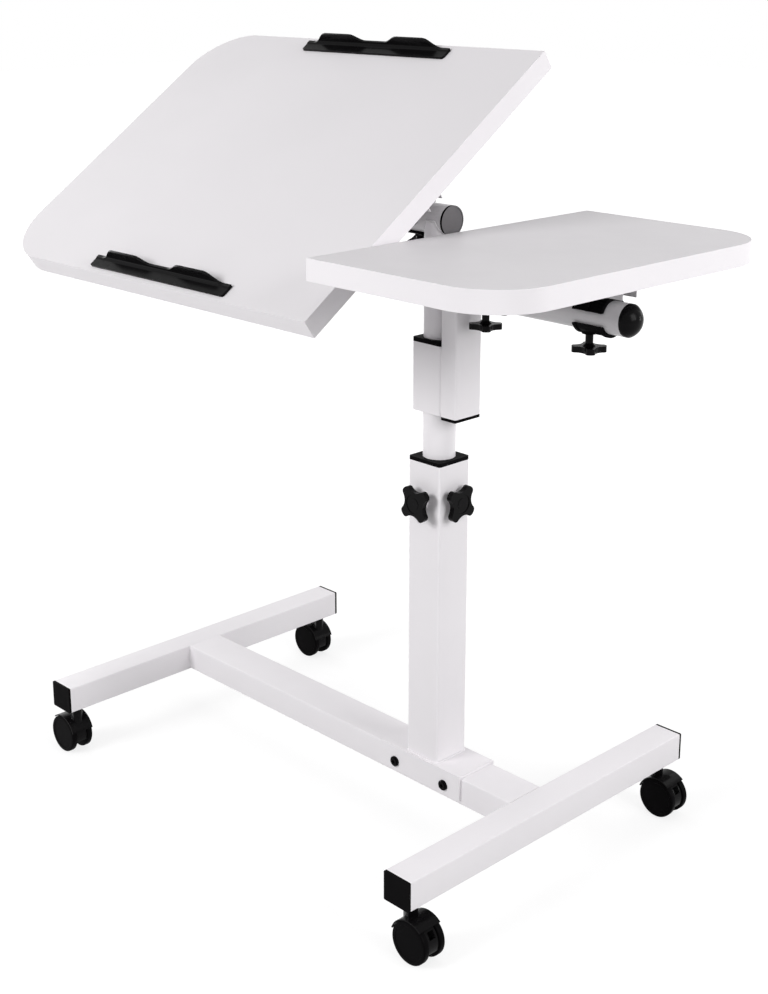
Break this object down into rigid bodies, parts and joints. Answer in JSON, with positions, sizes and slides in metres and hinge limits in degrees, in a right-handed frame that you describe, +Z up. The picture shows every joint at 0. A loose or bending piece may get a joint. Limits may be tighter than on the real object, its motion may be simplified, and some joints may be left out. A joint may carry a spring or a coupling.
{
  "type": "rolling computer desk",
  "caption": "Rolling desk with a height-adjustable pole on a low caster base, carrying a tilting main panel with book ledges and a separate side tray.",
  "frame": {"origin": "on the floor, below the middle of the desk's outer box", "axes": "+Z up, +X from the main panel towards the side tray, +Y away from the user"},
  "size_m": [0.854, 0.482, 0.9459],
  "materials": {
    "white_paint": "satin white powder coat",
    "grey_paint": "satin silver-grey paint",
    "white_laminate": "board with smooth white laminate and edge band",
    "black_steel": "black oxide",
    "zinc_steel": "bright zinc plate",
    "black_plastic": "moulded, fine grain",
    "black_gloss_plastic": "moulded, semi-gloss",
    "dark_grey_plastic": "moulded, satin",
    "caster_wheel": "hard moulded nylon"
  },
  "bodies": {
    "base": {"left_foot_tube": "white_paint", "right_foot_tube": "white_paint", "foot_end_caps": "black_plastic", "crossbar": "white_paint", "column_saddle": "white_paint", "saddle_bolts": "black_steel", "saddle_nuts": "zinc_steel", "column_tube": "white_paint", "column_bush": "black_plastic", "column_bosses": "white_paint", "front_left_stem": "zinc_steel", "front_right_stem": "zinc_steel", "rear_left_stem": "zinc_steel", "rear_right_stem": "zinc_steel"},
    "column_front_knob": {"front_knob": "black_gloss_plastic", "front_knob_screw": "zinc_steel"},
    "column_side_knob": {"side_knob": "black_gloss_plastic", "side_knob_screw": "zinc_steel"},
    "guide": {"pole_guide": "black_plastic"},
    "mast": {"pole": "white_paint", "panel_rail": "grey_paint", "panel_rail_caps": "dark_grey_plastic"},
    "arm": {"sleeve_tube": "white_paint", "sleeve_bushes": "black_plastic", "sleeve_boss": "white_paint", "tray_arm": "white_paint", "tray_arm_cap": "black_plastic", "tray_rail": "grey_paint", "tray_rail_dome": "black_gloss_plastic", "tray_rail_plug": "dark_grey_plastic"},
    "arm_knob": {"sleeve_knob": "black_gloss_plastic", "sleeve_knob_screw": "zinc_steel"},
    "panel": {"panel_board": "white_laminate", "panel_channel": "grey_paint", "panel_upper_jaws": "black_plastic", "panel_lower_jaws": "black_plastic", "front_book_ledge": "black_gloss_plastic", "back_book_ledge": "black_gloss_plastic"},
    "panel_left_clamp_knob": {"panel_knob_left": "black_gloss_plastic"},
    "panel_right_clamp_knob": {"panel_knob_right": "black_gloss_plastic"},
    "tray": {"tray_board": "white_laminate", "tray_channel": "grey_paint", "tray_upper_jaws": "black_plastic", "tray_lower_jaws": "black_plastic"},
    "tray_left_clamp_knob": {"tray_knob_left": "black_gloss_plastic"},
    "tray_right_clamp_knob": {"tray_knob_right": "black_gloss_plastic"},
    "front_left_caster": {"front_left_hood": "black_gloss_plastic", "front_left_axle": "zinc_steel"},
    "front_left_wheel_pair": {"front_left_wheels": "caster_wheel"},
    "front_right_caster": {"front_right_hood": "black_gloss_plastic", "front_right_axle": "zinc_steel"},
    "front_right_wheel_pair": {"front_right_wheels": "caster_wheel"},
    "rear_left_caster": {"rear_left_hood": "black_gloss_plastic", "rear_left_axle": "zinc_steel"},
    "rear_left_wheel_pair": {"rear_left_wheels": "caster_wheel"},
    "rear_right_caster": {"rear_right_hood": "black_gloss_plastic", "rear_right_axle": "zinc_steel"},
    "rear_right_wheel_pair": {"rear_right_wheels": "caster_wheel"}
  },
  "joints": [
    {"name": "pole_lift", "type": "slide", "parent": "base", "child": "guide", "axis": [0, 0, 1], "range_m": [-0.03, 0.25]},
    {"name": "pole_swivel", "type": "hinge", "parent": "guide", "child": "mast", "pos_m": [0.1425, -0.013, 0.3], "axis": [0, 0, 1], "continuous": true},
    {"name": "tray_lift", "type": "slide", "parent": "mast", "child": "arm", "axis": [0, 0, 1], "range_m": [-0.015, 0.055]},
    {"name": "panel_tilt", "type": "hinge", "parent": "mast", "child": "panel", "pos_m": [0.1425, -0.013, 0.7585], "axis": [1, 0, 0], "range_deg": [-35, 25]},
    {"name": "tray_tilt", "type": "hinge", "parent": "arm", "child": "tray", "pos_m": [0.1425, -0.013, 0.686], "axis": [1, 0, 0], "range_deg": [-30, 30]},
    {"name": "column_front_knob_turn", "type": "hinge", "parent": "base", "child": "column_front_knob", "pos_m": [0.1425, -0.053, 0.433], "axis": [0, -1, 0], "continuous": true},
    {"name": "column_side_knob_turn", "type": "hinge", "parent": "base", "child": "column_side_knob", "pos_m": [0.1825, -0.013, 0.433], "axis": [1, 0, 0], "continuous": true},
    {"name": "arm_knob_turn", "type": "hinge", "parent": "arm", "child": "arm_knob", "pos_m": [0.1425, 0.025, 0.5795], "axis": [0, 1, 0], "continuous": true},
    {"name": "panel_left_clamp_turn", "type": "hinge", "parent": "panel", "child": "panel_left_clamp_knob", "pos_m": [-0.233, 0.00679, 0.73024], "axis": [0, 0.5736, -0.8192], "continuous": true},
    {"name": "panel_right_clamp_turn", "type": "hinge", "parent": "panel", "child": "panel_right_clamp_knob", "pos_m": [0.0915, 0.00679, 0.73024], "axis": [0, 0.5736, -0.8192], "continuous": true},
    {"name": "tray_left_clamp_turn", "type": "hinge", "parent": "tray", "child": "tray_left_clamp_knob", "pos_m": [0.2115, -0.013, 0.6515], "axis": [0, 0, -1], "continuous": true},
    {"name": "tray_right_clamp_turn", "type": "hinge", "parent": "tray", "child": "tray_right_clamp_knob", "pos_m": [0.3565, -0.013, 0.6515], "axis": [0, 0, -1], "continuous": true},
    {"name": "front_left_swivel", "type": "hinge", "parent": "base", "child": "front_left_caster", "pos_m": [-0.3345, -0.219, 0.06], "axis": [0, 0, 1], "continuous": true},
    {"name": "front_left_wheel_spin", "type": "hinge", "parent": "front_left_caster", "child": "front_left_wheel_pair", "pos_m": [-0.3465, -0.219, 0.025], "axis": [0, 1, 0], "continuous": true},
    {"name": "front_right_swivel", "type": "hinge", "parent": "base", "child": "front_right_caster", "pos_m": [0.3045, -0.219, 0.06], "axis": [0, 0, 1], "continuous": true},
    {"name": "front_right_wheel_spin", "type": "hinge", "parent": "front_right_caster", "child": "front_right_wheel_pair", "pos_m": [0.3165, -0.219, 0.025], "axis": [0, 1, 0], "continuous": true},
    {"name": "rear_left_swivel", "type": "hinge", "parent": "base", "child": "rear_left_caster", "pos_m": [-0.3345, 0.219, 0.06], "axis": [0, 0, 1], "continuous": true},
    {"name": "rear_left_wheel_spin", "type": "hinge", "parent": "rear_left_caster", "child": "rear_left_wheel_pair", "pos_m": [-0.3465, 0.219, 0.025], "axis": [0, 1, 0], "continuous": true},
    {"name": "rear_right_swivel", "type": "hinge", "parent": "base", "child": "rear_right_caster", "pos_m": [0.3045, 0.219, 0.06], "axis": [0, 0, 1], "continuous": true},
    {"name": "rear_right_wheel_spin", "type": "hinge", "parent": "rear_right_caster", "child": "rear_right_wheel_pair", "pos_m": [0.3165, 0.219, 0.025], "axis": [0, 1, 0], "continuous": true}
  ]
}
